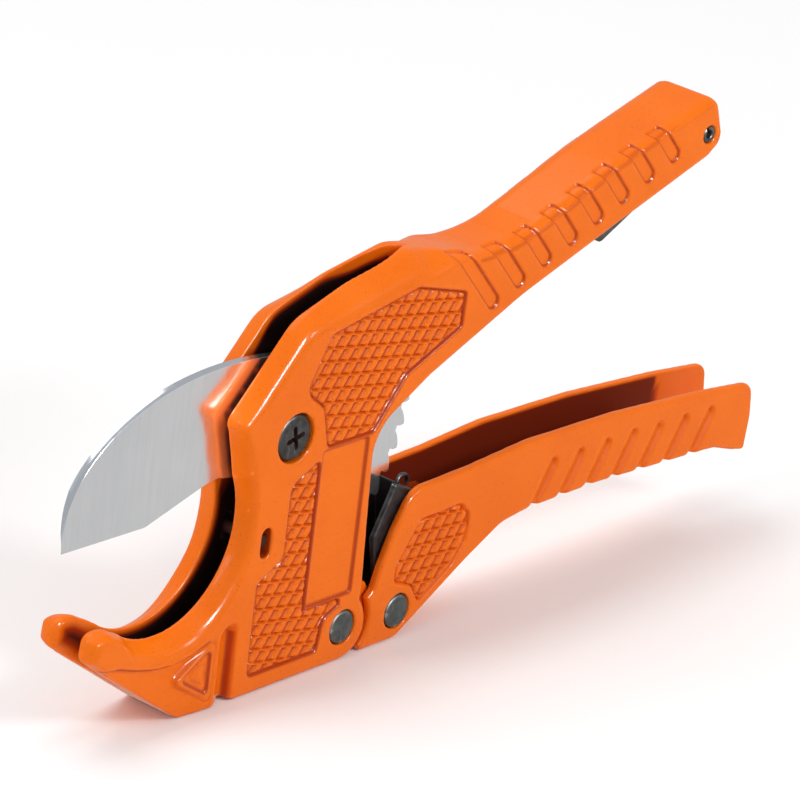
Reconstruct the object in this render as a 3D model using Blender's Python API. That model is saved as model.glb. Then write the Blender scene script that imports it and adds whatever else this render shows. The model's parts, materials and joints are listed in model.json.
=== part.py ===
"""Ratcheting cutter for plastic pipe: cast body with a C jaw, hooked blade, moving handle, pawl and latch.

The tool stands upright in the XZ plane. +X runs from the jaw to the handles' ends, +Y away from the
side with the screw head, +Z up. Outlines are in millimetres from the blade's pivot axis.
"""
import math

import bmesh
import bpy
from mathutils import Vector

MM = 0.001
NAME = "pvc_pipe_cutter"

# where the blade's pivot axis stands in the frame, mm
PIVOT_X = -50.2
PIVOT_Z = 56.0

# across the tool, mm, each measured from the middle plane
BODY_HALF = 8.0
SLOT_HALF = 2.7
CAVITY_HALF = 5.8
HANDLE_HALF = 7.8
HANDLE_INNER = 5.8
TONGUE_HALF = 5.4
TONGUE_INNER = 3.2
PAWL_HALF = 5.4
PAWL_INNER = 3.9
BLADE_HALF = 1.0
LATCH_HALF = 4.8
GAP = 0.3

# joint axes, mm from the blade's pivot
BLADE_AXIS = (0.0, 0.0)
HANDLE_AXIS = (22.5, -48.6)
PAWL_AXIS = (40.5, -49.7)
LATCH_AXIS = (129.8, 40.6)

# jaw
JAW_CENTRE = (-32.5, -16.0)
JAW_R = 21.2

# round parts, mm
HOLE_HEAD_R = 5.5
HEAD_R = 5.0
SHANK_R = 3.0
BUSH_R = 4.3
WASHER_R = 8.0
PIN_HEAD_R = 3.7
PIN_HOLE_R = 4.0
PIN_SHANK_R = 2.5
ROLL_PIN_R = 1.8
ROLL_PIN_BORE_R = 0.9
EAR_R = 7.4
TURN_START = 4.3  # degrees, keeps a pin's corners off the corners of its hole
TONGUE_R = 6.6

# ratchet sector of the blade
TOOTH_TIP_R = 44.7
TOOTH_ROOT_R = 42.5
TOOTH_PITCH_DEG = 6.9
TOOTH_COUNT = 10
FIRST_TIP_DEG = 1.6

# grip details
NOTCH_COUNT = 8
GROOVE_COUNT = 7

ORANGE = (0.86, 0.155, 0.022)
STEEL = (0.56, 0.56, 0.57)
DARK_STEEL = (0.12, 0.115, 0.105)
BLACK = (0.018, 0.018, 0.019)
GREY = (0.2, 0.2, 0.2)


def clear_scene():
    for ob in list(bpy.data.objects):
        bpy.data.objects.remove(ob, do_unlink=True)
    for mesh in list(bpy.data.meshes):
        bpy.data.meshes.remove(mesh)


def make_collection(name):
    coll = bpy.data.collections.new(name)
    bpy.context.scene.collection.children.link(coll)
    return coll


def material(name, colour, metallic, roughness):
    mat = bpy.data.materials.new(name)
    mat.use_nodes = True
    shader = mat.node_tree.nodes["Principled BSDF"]
    shader.inputs["Base Color"].default_value = (*colour, 1.0)
    shader.inputs["Metallic"].default_value = metallic
    shader.inputs["Roughness"].default_value = roughness
    mat.diffuse_color = (*colour, 1.0)
    return mat


# ---------- outlines ----------

def arc(centre, radius, start, stop, count):
    """Points on an arc, angles in degrees, both ends included."""
    points = []
    for i in range(count + 1):
        a = math.radians(start + (stop - start) * i / count)
        points.append((centre[0] + radius * math.cos(a), centre[1] + radius * math.sin(a)))
    return points


def circle(centre, radius, count=24):
    return arc(centre, radius, 0.0, 360.0, count)[:-1]


def rounded(corners, step=18.0):
    """Outline through corners given as (x, z) or (x, z, fillet radius)."""
    points = []
    n = len(corners)
    for i, corner in enumerate(corners):
        p = Vector(corner[:2])
        r = corner[2] if len(corner) > 2 else 0.0
        if r <= 0.0:
            points.append((p.x, p.y))
            continue
        to_prev = Vector(corners[i - 1][:2]) - p
        to_next = Vector(corners[(i + 1) % n][:2]) - p
        half = to_prev.angle(to_next) / 2.0
        reach = min(r / math.tan(half), 0.49 * to_prev.length, 0.49 * to_next.length)
        r = reach * math.tan(half)
        start = p + to_prev.normalized() * reach
        stop = p + to_next.normalized() * reach
        centre = p + (to_prev.normalized() + to_next.normalized()).normalized() * (r / math.sin(half))
        a0 = math.atan2(start.y - centre.y, start.x - centre.x)
        a1 = math.atan2(stop.y - centre.y, stop.x - centre.x)
        turn = (a1 - a0 + math.pi) % (2.0 * math.pi) - math.pi
        count = max(2, math.ceil(math.degrees(abs(turn)) / step))
        for k in range(count + 1):
            a = a0 + turn * k / count
            points.append((centre.x + r * math.cos(a), centre.y + r * math.sin(a)))
    return points


def capsule(start, stop, half_width, count=6):
    """Outline of a slot with round ends."""
    angle = math.degrees(math.atan2(stop[1] - start[1], stop[0] - start[0]))
    ends = arc(start, half_width, angle + 90.0, angle + 270.0, count)
    return ends + arc(stop, half_width, angle - 90.0, angle + 90.0, count)


def area(points):
    total = 0.0
    for (x0, z0), (x1, z1) in zip(points, points[1:] + points[:1]):
        total += x0 * z1 - x1 * z0
    return total / 2.0


def tidy(points):
    """Outline run anticlockwise in X and Z, with coincident neighbours dropped."""
    kept = []
    for p in points:
        if not kept or math.dist(p, kept[-1]) > 0.02:
            kept.append(p)
    if math.dist(kept[0], kept[-1]) <= 0.02:
        kept.pop()
    if area(kept) < 0.0:
        kept.reverse()
    return kept


def shrunk(points, inset):
    """Outline moved inwards; inset is one distance or one for each point."""
    n = len(points)
    moved = []
    for i, p in enumerate(points):
        here = Vector(p)
        before = (here - Vector(points[i - 1])).normalized()
        after = (Vector(points[(i + 1) % n]) - here).normalized()
        left = Vector((-before.y - after.y, before.x + after.x)).normalized()
        grow = 1.0 / max(0.5, left.dot(Vector((-before.y, before.x))))
        d = inset[i] if isinstance(inset, list) else inset
        moved.append((here.x + left.x * d * grow, here.y + left.y * d * grow))
    return moved


# ---------- solids ----------

def world(x, y, z):
    return Vector(((x + PIVOT_X) * MM, y * MM, (z + PIVOT_Z) * MM))


def layered(rings):
    """Closed solid through rings of points, each (y, outline), from low y to high y."""
    bm = bmesh.new()
    loops = []
    for y, outline in rings:
        loops.append([bm.verts.new(world(x, y, z)) for x, z in outline])
    bm.faces.new(loops[0])
    bm.faces.new(loops[-1])
    for low, high in zip(loops, loops[1:]):
        n = len(low)
        for i in range(n):
            j = (i + 1) % n
            bm.faces.new((low[i], low[j], high[j], high[i]))
    bmesh.ops.recalc_face_normals(bm, faces=bm.faces)
    return bm


def prism(outline, y0, y1):
    outline = tidy(outline)
    return layered([(y0, outline), (y1, outline)])


def softened(outline, y0, y1, r, count=2):
    """Prism with both rims rounded by r."""
    outline = tidy(outline)
    rings = []
    for k in range(count + 1):
        a = math.radians(90.0 * k / count)
        rings.append((y0 + r * (1.0 - math.sin(a)), shrunk(outline, r * (1.0 - math.cos(a)))))
    rings.reverse()
    tops = [(y0 + y1 - y, ring) for y, ring in rings]
    tops.reverse()
    return layered(rings + tops)


def turned(centre, profile, count=24):
    """Solid of revolution about an axis along Y; profile is (radius, y) from low y to high y."""
    return layered([(y, arc(centre, r, TURN_START, TURN_START + 360.0, count)[:-1]) for r, y in profile])


def put(name, bm, coll, mat=None, origin=BLADE_AXIS, smooth=35.0):
    """Object from a mesh, with its origin on a joint axis."""
    base = world(origin[0], 0.0, origin[1])
    for v in bm.verts:
        v.co -= base
    mesh = bpy.data.meshes.new(name)
    bm.to_mesh(mesh)
    bm.free()
    if mat:
        mesh.materials.append(mat)
    if smooth:
        mesh.shade_smooth()
        mesh.set_sharp_from_angle(angle=math.radians(smooth))
    ob = bpy.data.objects.new(name, mesh)
    ob.location = base
    coll.objects.link(ob)
    return ob


def merge(parts):
    """One mesh from several separate solids."""
    bm = bmesh.new()
    for part in parts:
        mesh = bpy.data.meshes.new("temp")
        part.to_mesh(mesh)
        part.free()
        bm.from_mesh(mesh)
        bpy.data.meshes.remove(mesh)
    return bm


class Shop:
    """Collections and materials, and the Boolean steps between them."""

    def __init__(self):
        self.parts = make_collection(NAME)
        self.tools = make_collection("cutters")
        self.mats = {
            "orange": material("orange_enamel", ORANGE, 0.0, 0.25),
            "blade": material("polished_steel", STEEL, 1.0, 0.3),
            "dark": material("dark_steel", DARK_STEEL, 0.8, 0.4),
            "black": material("black_oxide", BLACK, 0.5, 0.35),
            "grey": material("grey_steel", GREY, 0.9, 0.4),
        }

    def part(self, name, bm, mat, origin=BLADE_AXIS):
        base = self.mats[mat].copy()
        base.name = name + "_material"
        return put(name, bm, self.parts, base, origin)

    def boolean(self, ob, name, bm, operation):
        tool = put(ob.name + "_" + name, bm, self.tools, smooth=0.0)
        tool.hide_render = True
        tool.display_type = "WIRE"
        mod = ob.modifiers.new(name, "BOOLEAN")
        mod.object = tool
        mod.operation = operation
        mod.solver = "EXACT"

    def cut(self, ob, name, bm):
        self.boolean(ob, name, bm, "DIFFERENCE")

    def add(self, ob, name, bm):
        self.boolean(ob, name, bm, "UNION")


# ---------- body ----------

def body_outline():
    """Cheek and upper handle seen from the side, with the shoulder width at each corner."""
    corners = [
        (-17.6, 5.8, 2.5), (0.2, 24.6, 12.0), (16.0, 29.5, 30.0), (34.5, 32.6, 10.0), (55.0, 28.7, 30.0),
        (68.0, 29.4, 40.0), (98.0, 40.2, 60.0), (131.2, 49.3, 2.5), (135.2, 38.5, 3.5), (130.5, 35.2, 4.0),
        (100.0, 25.5, 60.0), (70.0, 15.7, 60.0), (42.0, 4.0, 20.0), (26.0, -5.0, 10.0), (27.0, -24.0, 30.0),
        (27.9, -39.5, 2.0), (27.7, -43.3),
    ]
    points = rounded(corners)
    points += arc(HANDLE_AXIS, EAR_R, 42.0, -90.0, 8)
    points += rounded([(22.5, -56.0), (-10.5, -56.0, 2.0), (-14.0, -55.2, 2.0), (-17.0, -56.0, 2.0),
                       (-28.0, -56.0, 4.0), (-57.6, -35.3, 2.0), (-55.5, -29.9, 3.0), (-50.5, -30.3)])[2:-1]
    start = math.degrees(math.atan2(-30.6 + 16.0, -47.9 + 32.5)) % 360.0
    points += arc(JAW_CENTRE, JAW_R, start, 386.0, 24)
    return tidy(points)


def shoulder(point):
    """Width of the rounded shoulder between the outer face and the outline, mm."""
    x, z = point
    if x > 60.0:
        return 1.0
    if z < -40.0 or (x > 20.0 and z < 20.0):
        return 0.8
    if x < -20.0:
        return 2.8
    if z < 4.0:
        return 1.6
    if x < 36.0:
        return 2.2 + 1.6 * min(1.0, max(0.0, x / 20.0))
    return 1.0 + 2.8 * (60.0 - x) / 24.0


def body_blank():
    outline = body_outline()
    widths = [shoulder(p) for p in outline]
    for _ in range(12):
        n = len(widths)
        widths = [(widths[i - 1] + widths[i] + widths[(i + 1) % n]) / 3.0 for i in range(n)]
    depth = BODY_HALF - SLOT_HALF - 0.5
    rings = []
    for k in range(4):
        a = math.radians(90.0 * k / 3)
        inset = [w * (1.0 - math.cos(a)) for w in widths]
        rings.append((-BODY_HALF + depth * (1.0 - math.sin(a)), shrunk(outline, inset)))
    rings.reverse()
    tops = [(-y, ring) for y, ring in rings]
    tops.reverse()
    return layered(rings + tops)


def blade_slot():
    """Room for the blade between the cheeks; what it leaves is the web under the jaw."""
    outline = [(-64.0, -30.2), (-55.3, -36.6), (-38.5, -48.9), (-30.0, -48.9), (-10.0, -45.9), (30.0, -45.9),
               (45.5, -20.0), (45.5, 12.0), (36.2, 27.5), (36.2, 60.0), (-64.0, 60.0)]
    return prism(outline, -SLOT_HALF, SLOT_HALF)


def rear_cavity():
    """Wider room for the handle's tongue and the pawl."""
    outline = [(12.4, -60.0), (40.0, -60.0), (40.0, -11.0), (24.0, -11.0), (12.4, -22.0)]
    return prism(outline, -CAVITY_HALF, CAVITY_HALF)


def handle_channel():
    """Hollow of the upper handle, open below and at its end."""
    roof = [(36.4, 27.0), (55.0, 26.0), (68.0, 26.8), (98.0, 37.5), (140.0, 49.4)]
    floor = [(140.0, 30.0), (131.0, 30.0), (100.0, 20.0), (70.0, 10.0), (54.0, 4.0), (50.0, 4.0), (44.0, 14.0)]
    return prism(roof + floor, -CAVITY_HALF, CAVITY_HALF)


def side_pair(outline, depth, outer=BODY_HALF):
    """The same shallow recess cutter on both sides."""
    near = prism(outline, -outer - 1.0, -outer + depth)
    far = prism(outline, outer - depth, outer + 1.0)
    return merge([near, far])


def make_body(shop):
    body = shop.part("body", body_blank(), "orange")
    shop.cut(body, "slot", blade_slot())
    shop.cut(body, "cavity", rear_cavity())
    shop.cut(body, "channel", handle_channel())
    bores = [prism(circle(HANDLE_AXIS, PIN_HOLE_R), -9.0, 9.0),
             prism(circle(LATCH_AXIS, ROLL_PIN_R + GAP, 20), -9.0, 9.0),
             prism(circle(BLADE_AXIS, HOLE_HEAD_R), -9.0, -5.2),
             prism(circle(BLADE_AXIS, HOLE_HEAD_R), 5.2, 9.0),
             prism(capsule((-5.8, -20.2), (-5.8, -23.8), 1.6), -9.0, 9.0)]
    shop.cut(body, "bores", merge(bores))
    shop.cut(body, "screw_bore", prism(circle(BLADE_AXIS, SHANK_R + GAP), -9.0, 9.0))
    pad = rounded([(9.5, -5.2, 0.6), (23.6, -5.2, 0.6), (23.6, -40.6, 0.6), (9.5, -40.6, 0.6)])
    shop.cut(body, "label_pad", side_pair(pad, 0.4))
    knurl_high = rounded([(8.0, 21.0, 2.0), (34.6, 25.6, 2.0), (50.6, 21.2, 2.0), (50.3, 13.4, 2.0),
                          (34.0, 6.4, 3.0), (25.0, -4.6, 1.5), (10.6, -4.6, 1.5), (8.0, 5.0, 3.0), (1.8, 9.6, 3.0)])
    knurl_low = rounded([(8.9, -6.8, 1.0), (8.9, -41.2, 0.4), (23.6, -41.2, 1.0), (15.6, -45.0, 3.0),
                         (14.4, -52.0, 1.0), (-7.2, -52.0, 1.5), (-7.2, -31.0, 1.5), (0.4, -27.0, 3.0),
                         (0.4, -11.0, 3.0)])
    shop.cut(body, "knurl_beds", merge([side_pair(knurl_high, 0.5), side_pair(knurl_low, 0.5)]))
    valley = capsule((-14.2, -41.0), (-14.2, -64.0), 2.4)
    shop.cut(body, "valley", side_pair(valley, 1.3))
    triangle = rounded([(-29.6, -46.8, 1.2), (-18.6, -40.0, 1.2), (-18.6, -53.4, 1.2)])
    inner = rounded([(-26.6, -46.8, 0.8), (-20.2, -42.8, 0.8), (-20.2, -50.8, 0.8)])
    shop.cut(body, "triangle", side_pair(inner, 0.5))
    shop.cut(body, "triangle_line", side_pair(triangle, 0.2))
    shop.cut(body, "notches", finger_notches())
    return body


def finger_notches():
    """Shallow recesses across the upper handle's top edges."""
    cutters = []
    for i in range(NOTCH_COUNT):
        x = 61.5 + 7.75 * i
        z = 17.6 + 2.85 * i
        top = (x - 8.5, z + 13.0 - 0.45 * i)
        for side in (-1.0, 1.0):
            y = sorted((side * 7.5, side * 9.0))
            cutters.append(prism(capsule((x, z), top, 1.9, 4), *y))
    return merge(cutters)


# ---------- lower handle ----------

def lower_outline():
    """The lower handle's walls seen from the side."""
    front = [(41.5, -21.9, 3.0), (36.4, -30.6, 8.0), (33.4, -37.8), (31.9, -42.6)]
    edge = arc(HANDLE_AXIS, 8.8, 30.0, -44.0, 6)
    under = [(29.6, -56.0), (41.0, -56.0, 5.0), (62.0, -43.6, 40.0), (73.5, -37.6, 12.0)]
    grip = [(82.0, -36.5, 20.0), (106.0, -36.3, 60.0), (142.0, -38.0, 60.0)]
    end = [(149.0, -38.4, 6.0), (156.0, -40.6, 4.0), (160.6, -41.6, 0.8), (161.4, -33.0, 8.0),
           (160.4, -25.2, 3.5), (141.0, -23.0, 30.0), (110.0, -20.7, 60.0), (80.0, -20.0, 40.0), (60.0, -21.4, 40.0)]
    return tidy(rounded(under + grip + end + front + edge))


def make_lower_handle(shop):
    blank = softened(lower_outline(), -HANDLE_HALF, HANDLE_HALF, 0.8)
    handle = shop.part("lower_handle", blank, "orange", HANDLE_AXIS)
    hollow = [(20.0, -60.0), (33.6, -60.0), (33.6, -54.2), (42.5, -54.2), (63.4, -41.7), (74.0, -35.5),
              (82.0, -34.4), (110.0, -34.4), (142.4, -35.6), (142.6, -45.0), (170.0, -45.0), (170.0, -10.0),
              (20.0, -10.0)]
    shop.cut(handle, "hollow", prism(hollow, -HANDLE_INNER, HANDLE_INNER))
    tongue = tidy(arc(HANDLE_AXIS, TONGUE_R, 100.0, 262.0, 12)
                  + [(28.0, -55.9), (33.8, -55.9), (33.6, -43.9), (31.5, -41.2), (29.0, -40.9)])
    wall = HANDLE_HALF - 1.1
    flare = [(32.2, -55.4), (34.4, -55.4), (34.4, -47.0), (33.8, -44.6), (32.6, -44.6), (32.0, -49.0)]
    shop.add(handle, "tongue", prism(tongue, -TONGUE_HALF, TONGUE_HALF))
    shop.add(handle, "flare", prism(flare, -wall, wall))
    inside = [(10.0, -60.0), (28.6, -60.0), (28.6, -53.2), (38.0, -53.2), (38.0, -36.0), (10.0, -36.0)]
    shop.cut(handle, "tongue_hollow", prism(inside, -TONGUE_INNER, TONGUE_INNER))
    bores = [prism(circle(HANDLE_AXIS, PIN_SHANK_R + GAP), -9.0, 9.0),
             prism(circle(PAWL_AXIS, PIN_HOLE_R), -9.0, 9.0)]
    shop.cut(handle, "bores", merge(bores))
    knurl = rounded([(45.0, -29.6, 1.5), (58.6, -29.2, 2.0), (61.8, -32.4, 2.0), (61.4, -38.0, 3.0),
                     (57.6, -43.4, 2.0), (47.6, -49.6, 1.0), (44.6, -45.0, 2.0), (38.4, -42.6, 1.0),
                     (38.6, -38.6, 1.0)])
    grooves = []
    for i in range(GROOVE_COUNT):
        x = 84.0 + 9.35 * i
        drop = 0.45 * max(0, i - 3)
        grooves.append(capsule((x, -36.4 - drop), (x + 4.2, -28.2 - drop), 1.9, 4))
    shop.cut(handle, "knurl_beds", side_pair(knurl, 0.5, HANDLE_HALF))
    shop.cut(handle, "grooves", merge([side_pair(g, 0.6, HANDLE_HALF) for g in grooves]))
    return handle


# ---------- blade and its screw ----------

def blade_outline():
    spine = [(-60.7, -11.6), (-60.5, -6.0, 3.0), (-58.6, 1.2, 10.0), (-51.5, 9.0, 20.0), (-40.0, 14.2, 30.0),
             (-24.0, 17.2, 30.0), (2.0, 17.4, 14.0), (30.0, 10.5)]
    back = arc(BLADE_AXIS, TOOTH_ROOT_R, 8.0, 5.2, 1)
    teeth = []
    for i in range(TOOTH_COUNT):
        tip = FIRST_TIP_DEG - TOOTH_PITCH_DEG * i
        for radius, lead in ((TOOTH_TIP_R - 0.7, 2.4), (TOOTH_TIP_R, 0.4), (TOOTH_TIP_R - 0.1, -0.3),
                             (TOOTH_ROOT_R, -0.5), (TOOTH_ROOT_R, -2.2)):
            a = math.radians(tip + lead)
            teeth.append((radius * math.cos(a), radius * math.sin(a)))
    belly = [(20.0, -37.2), (17.5, -37.0, 2.0), (11.0, -20.0, 10.0), (-1.0, -13.0, 8.0), (-13.0, -6.0, 20.0),
             (-36.0, -12.8, 4.0), (-60.4, -12.3)]
    return tidy(rounded(spine, 12.0) + back + teeth + rounded(belly, 12.0)[1:])


def make_blade(shop):
    outline = blade_outline()
    ground = [0.5 if -59.0 < x < -14.0 and z < -5.0 else 0.05 for x, z in outline]
    rings = [(-BLADE_HALF, shrunk(outline, ground)), (-0.15, outline), (0.15, outline),
             (BLADE_HALF, shrunk(outline, ground))]
    blade = shop.part("blade", layered(rings), "blade")
    shop.cut(blade, "bore", prism(circle(BLADE_AXIS, BUSH_R + GAP), -2.0, 2.0))


def ring_solid(centre, inner, outer, y0, y1, count=24):
    """Plain washer or sleeve."""
    bm = bmesh.new()
    rows = []
    for radius, y in ((inner, y0), (outer, y0), (outer, y1), (inner, y1)):
        rows.append([bm.verts.new(world(x, y, z)) for x, z in circle(centre, radius, count)])
    for k in range(4):
        a, b = rows[k], rows[(k + 1) % 4]
        for i in range(count):
            j = (i + 1) % count
            bm.faces.new((a[i], a[j], b[j], b[i]))
    bmesh.ops.recalc_face_normals(bm, faces=bm.faces)
    return bm


def make_pivot(shop):
    head = [(4.2, -7.95), (4.8, -7.6), (HEAD_R, -7.2), (HEAD_R, -6.6), (SHANK_R, -6.6), (SHANK_R, 7.2), (2.6, 7.6)]
    screw = shop.part("blade_pivot_screw", turned(BLADE_AXIS, head), "dark")
    blade_a = prism([(-2.6, -0.45), (2.6, -0.45), (2.6, 0.45), (-2.6, 0.45)], -9.0, -6.7)
    blade_b = prism([(-0.45, -2.6), (0.45, -2.6), (0.45, 2.6), (-0.45, 2.6)], -9.0, -6.9)
    shop.cut(screw, "recess_across", blade_a)
    shop.cut(screw, "recess_up", blade_b)
    shop.part("screw_lock_washer", ring_solid(BLADE_AXIS, SHANK_R + GAP, 4.9, -6.3, -5.5), "grey")
    shop.part("blade_pivot_nut", ring_solid(BLADE_AXIS, SHANK_R + GAP, 4.9, 5.5, 7.8), "dark")
    shop.part("blade_pivot_bush", ring_solid(BLADE_AXIS, SHANK_R + GAP, BUSH_R, -2.4, 2.4), "grey")
    shop.part("blade_washer_near", ring_solid(BLADE_AXIS, BUSH_R + GAP, WASHER_R, -2.4, -1.3), "grey")
    shop.part("blade_washer_far", ring_solid(BLADE_AXIS, BUSH_R + GAP, 5.4, 1.3, 2.4), "grey")


# ---------- pins ----------

def make_pins(shop):
    stepped = [(PIN_HEAD_R - 0.3, -7.9), (PIN_HEAD_R, -7.6), (PIN_HEAD_R, -6.1), (PIN_SHANK_R, -6.1),
               (PIN_SHANK_R, 6.1), (PIN_HEAD_R, 6.1), (PIN_HEAD_R, 7.6), (PIN_HEAD_R - 0.3, 7.9)]
    shop.part("handle_pivot_pin", turned(HANDLE_AXIS, stepped), "grey", HANDLE_AXIS)
    shop.part("pawl_pin", turned(PAWL_AXIS, stepped), "grey", PAWL_AXIS)
    shop.part("latch_pin", ring_solid(LATCH_AXIS, ROLL_PIN_BORE_R, ROLL_PIN_R, -7.8, 7.8, 24), "dark", LATCH_AXIS)
    anchor = [(1.0, -7.0), (1.3, -6.7), (1.3, 6.7), (1.0, 7.0)]
    shop.part("spring_anchor_pin", turned((-5.8, -22.0), anchor, 16), "grey", (-5.8, -22.0))


# ---------- pawl, springs and latch ----------

def make_pawl(shop):
    side = rounded([(37.4, -20.3, 0.6), (44.4, -23.3, 0.8), (47.0, -43.0, 6.0), (46.2, -49.0)], 15.0)
    side += arc(PAWL_AXIS, 4.2, 5.0, -170.0, 8)
    side += rounded([(35.9, -46.5), (34.8, -41.5, 2.0), (32.6, -32.0, 2.0), (37.4, -20.3)], 15.0)[1:-1]
    pawl = shop.part("ratchet_pawl", softened(side, -PAWL_HALF, PAWL_HALF, 0.5), "black", PAWL_AXIS)
    room = [(20.0, -60.0), (46.2, -60.0), (46.2, -44.0), (45.2, -42.0), (42.8, -24.4), (36.0, -21.4), (20.0, -10.0)]
    shop.cut(pawl, "inside", prism(room, -PAWL_INNER, PAWL_INNER))
    mouth = [(20.0, -30.0), (30.0, -10.0), (43.0, -10.0), (42.8, -24.4), (40.0, -34.0)]
    shop.cut(pawl, "mouth", prism(mouth, -PAWL_INNER, PAWL_INNER))
    shop.cut(pawl, "bore", prism(circle(PAWL_AXIS, PIN_SHANK_R + GAP), -9.0, 9.0))


def wire(name, points, radius, shop, mat, origin):
    """Round wire through points given as (x, y, z) in millimetres."""
    curve = bpy.data.curves.new(name + "_path", "CURVE")
    curve.dimensions = "3D"
    curve.bevel_depth = radius * MM
    curve.bevel_resolution = 2
    curve.use_fill_caps = True
    spline = curve.splines.new("POLY")
    spline.points.add(len(points) - 1)
    base = world(origin[0], 0.0, origin[1])
    for slot, (x, y, z) in zip(spline.points, points):
        slot.co = (*(world(x, y, z) - base), 1.0)
    source = bpy.data.objects.new(name + "_path", curve)
    mesh = bpy.data.meshes.new_from_object(source)
    bpy.data.objects.remove(source, do_unlink=True)
    bm = bmesh.new()
    bm.from_mesh(mesh)
    bpy.data.meshes.remove(mesh)
    bmesh.ops.remove_doubles(bm, verts=bm.verts, dist=1e-6)
    bmesh.ops.recalc_face_normals(bm, faces=bm.faces)
    for v in bm.verts:
        v.co += base
    return shop.part(name, bm, mat, origin)


def coil(centre, radius, y0, y1, turns, start, steps=12):
    """Points of a coil about an axis along Y."""
    points = []
    total = int(turns * steps)
    for i in range(total + 1):
        a = math.radians(start + 360.0 * i / steps)
        y = y0 + (y1 - y0) * i / total
        points.append((centre[0] + radius * math.cos(a), y, centre[1] + radius * math.sin(a)))
    return points


def make_springs(shop):
    turns = coil(HANDLE_AXIS, 3.8, -2.2, 2.2, 3.5, 90.0)
    legs = [(14.6, -2.2, -44.8)] + turns + [(28.4, 2.2, -52.4)]
    wire("handle_return_spring", legs, 0.55, shop, "grey", HANDLE_AXIS)

    turns = coil(PAWL_AXIS, 3.55, -3.0, 3.0, 5.25, 0.0)
    hook = [(43.9, -3.0, -44.0), (42.0, -2.6, -25.6), (41.9, -2.4, -22.4), (42.6, -2.3, -21.0),
            (44.2, -2.2, -20.8), (45.4, -2.1, -21.8), (45.7, -2.1, -23.2)]
    hook.reverse()
    wire("pawl_spring", hook + turns + [(38.6, 3.0, -44.6)], 0.5, shop, "black", PAWL_AXIS)

    turns = coil(BLADE_AXIS, 6.3, 1.85, 2.15, 1.0, 250.0, 20)
    legs = turns + [(-5.8 + 1.9, 2.0, -19.0)]
    wire("blade_return_spring", legs, 0.4, shop, "grey", BLADE_AXIS)


def make_latch(shop):
    """Strap with a rolled eye and a hooked tail, folded into the upper handle."""
    eye = circle(LATCH_AXIS, 3.3, 24)
    latch = shop.part("latch", prism(eye, -LATCH_HALF, LATCH_HALF), "dark", LATCH_AXIS)
    under = rounded([(129.6, 37.2), (112.4, 27.3, 6.0), (98.6, 20.5, 1.6), (95.9, 26.2)], 15.0)
    over = rounded([(97.3, 26.9), (99.4, 22.6, 0.5), (111.6, 28.7, 6.0), (128.2, 38.6)], 15.0)
    shop.add(latch, "strap", prism(under + over, -LATCH_HALF, LATCH_HALF))
    shop.cut(latch, "bore", prism(circle(LATCH_AXIS, ROLL_PIN_R + GAP, 20), -9.0, 9.0))


def build():
    clear_scene()
    shop = Shop()
    make_body(shop)
    make_lower_handle(shop)
    make_blade(shop)
    make_pivot(shop)
    make_pins(shop)
    make_pawl(shop)
    make_springs(shop)
    make_latch(shop)


build()
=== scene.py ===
"""Looks for the ratcheting pipe cutter: cast orange body and handle, hooked blade, pins, pawl and latch.

Outlines are in millimetres from the blade's pivot axis, x towards the handles' ends and z up; y runs across
the tool, away from the side with the screw head. Every piece is placed in the CAD's frame.
"""

import json
import math

import bmesh
import bpy
import numpy as np
from mathutils import Matrix, Vector


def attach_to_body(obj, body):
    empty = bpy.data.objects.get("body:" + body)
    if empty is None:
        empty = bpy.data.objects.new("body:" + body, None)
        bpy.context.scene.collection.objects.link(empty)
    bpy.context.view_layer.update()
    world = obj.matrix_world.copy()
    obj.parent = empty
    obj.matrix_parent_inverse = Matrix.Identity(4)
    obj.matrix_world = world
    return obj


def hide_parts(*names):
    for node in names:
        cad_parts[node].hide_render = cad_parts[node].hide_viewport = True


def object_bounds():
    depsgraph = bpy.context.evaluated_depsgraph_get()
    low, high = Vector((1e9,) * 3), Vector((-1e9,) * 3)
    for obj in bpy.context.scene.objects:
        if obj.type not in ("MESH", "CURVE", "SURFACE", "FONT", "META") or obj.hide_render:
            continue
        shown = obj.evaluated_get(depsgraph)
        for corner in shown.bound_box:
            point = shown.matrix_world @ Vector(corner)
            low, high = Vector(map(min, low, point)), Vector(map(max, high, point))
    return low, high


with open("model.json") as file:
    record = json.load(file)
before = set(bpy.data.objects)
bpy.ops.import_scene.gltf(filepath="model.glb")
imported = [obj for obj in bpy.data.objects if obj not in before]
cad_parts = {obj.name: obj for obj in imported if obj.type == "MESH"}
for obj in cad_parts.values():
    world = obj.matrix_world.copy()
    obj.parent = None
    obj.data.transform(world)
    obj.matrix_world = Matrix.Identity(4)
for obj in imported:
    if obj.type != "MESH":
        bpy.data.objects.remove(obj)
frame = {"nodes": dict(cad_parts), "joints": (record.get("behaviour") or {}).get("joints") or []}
CAD_LOW, CAD_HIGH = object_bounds()

MM = 0.001
JOINTS = {j["name"]: Vector(j["pos_m"]) for j in frame["joints"]}
PIVOT = JOINTS["blade_pivot"]


def local(point):
    """A joint's place in millimetres from the blade's pivot, in x and z."""
    d = (point - PIVOT) / MM
    return (d.x, d.z)


BLADE_AXIS = (0.0, 0.0)
HANDLE_AXIS = local(JOINTS["handle_pivot"])
PAWL_AXIS = local(JOINTS["pawl_pivot"])
LATCH_AXIS = local(JOINTS["latch_pivot"])

BODY_HALF = 8.0
SLOT_HALF = 2.7
CAVITY_HALF = 5.8
HANDLE_HALF = 7.8
HANDLE_INNER = 5.8
TOOTH_TIP_R = 44.7
JAW_CENTRE = (-32.5, -16.0)
JAW_R = 21.2
EAR_R = 7.4
CAST_STEP = 0.36


# ---------- outlines ----------

def arc(centre, radius, start, stop, count):
    points = []
    for i in range(count + 1):
        a = math.radians(start + (stop - start) * i / count)
        points.append((centre[0] + radius * math.cos(a), centre[1] + radius * math.sin(a)))
    return points


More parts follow.
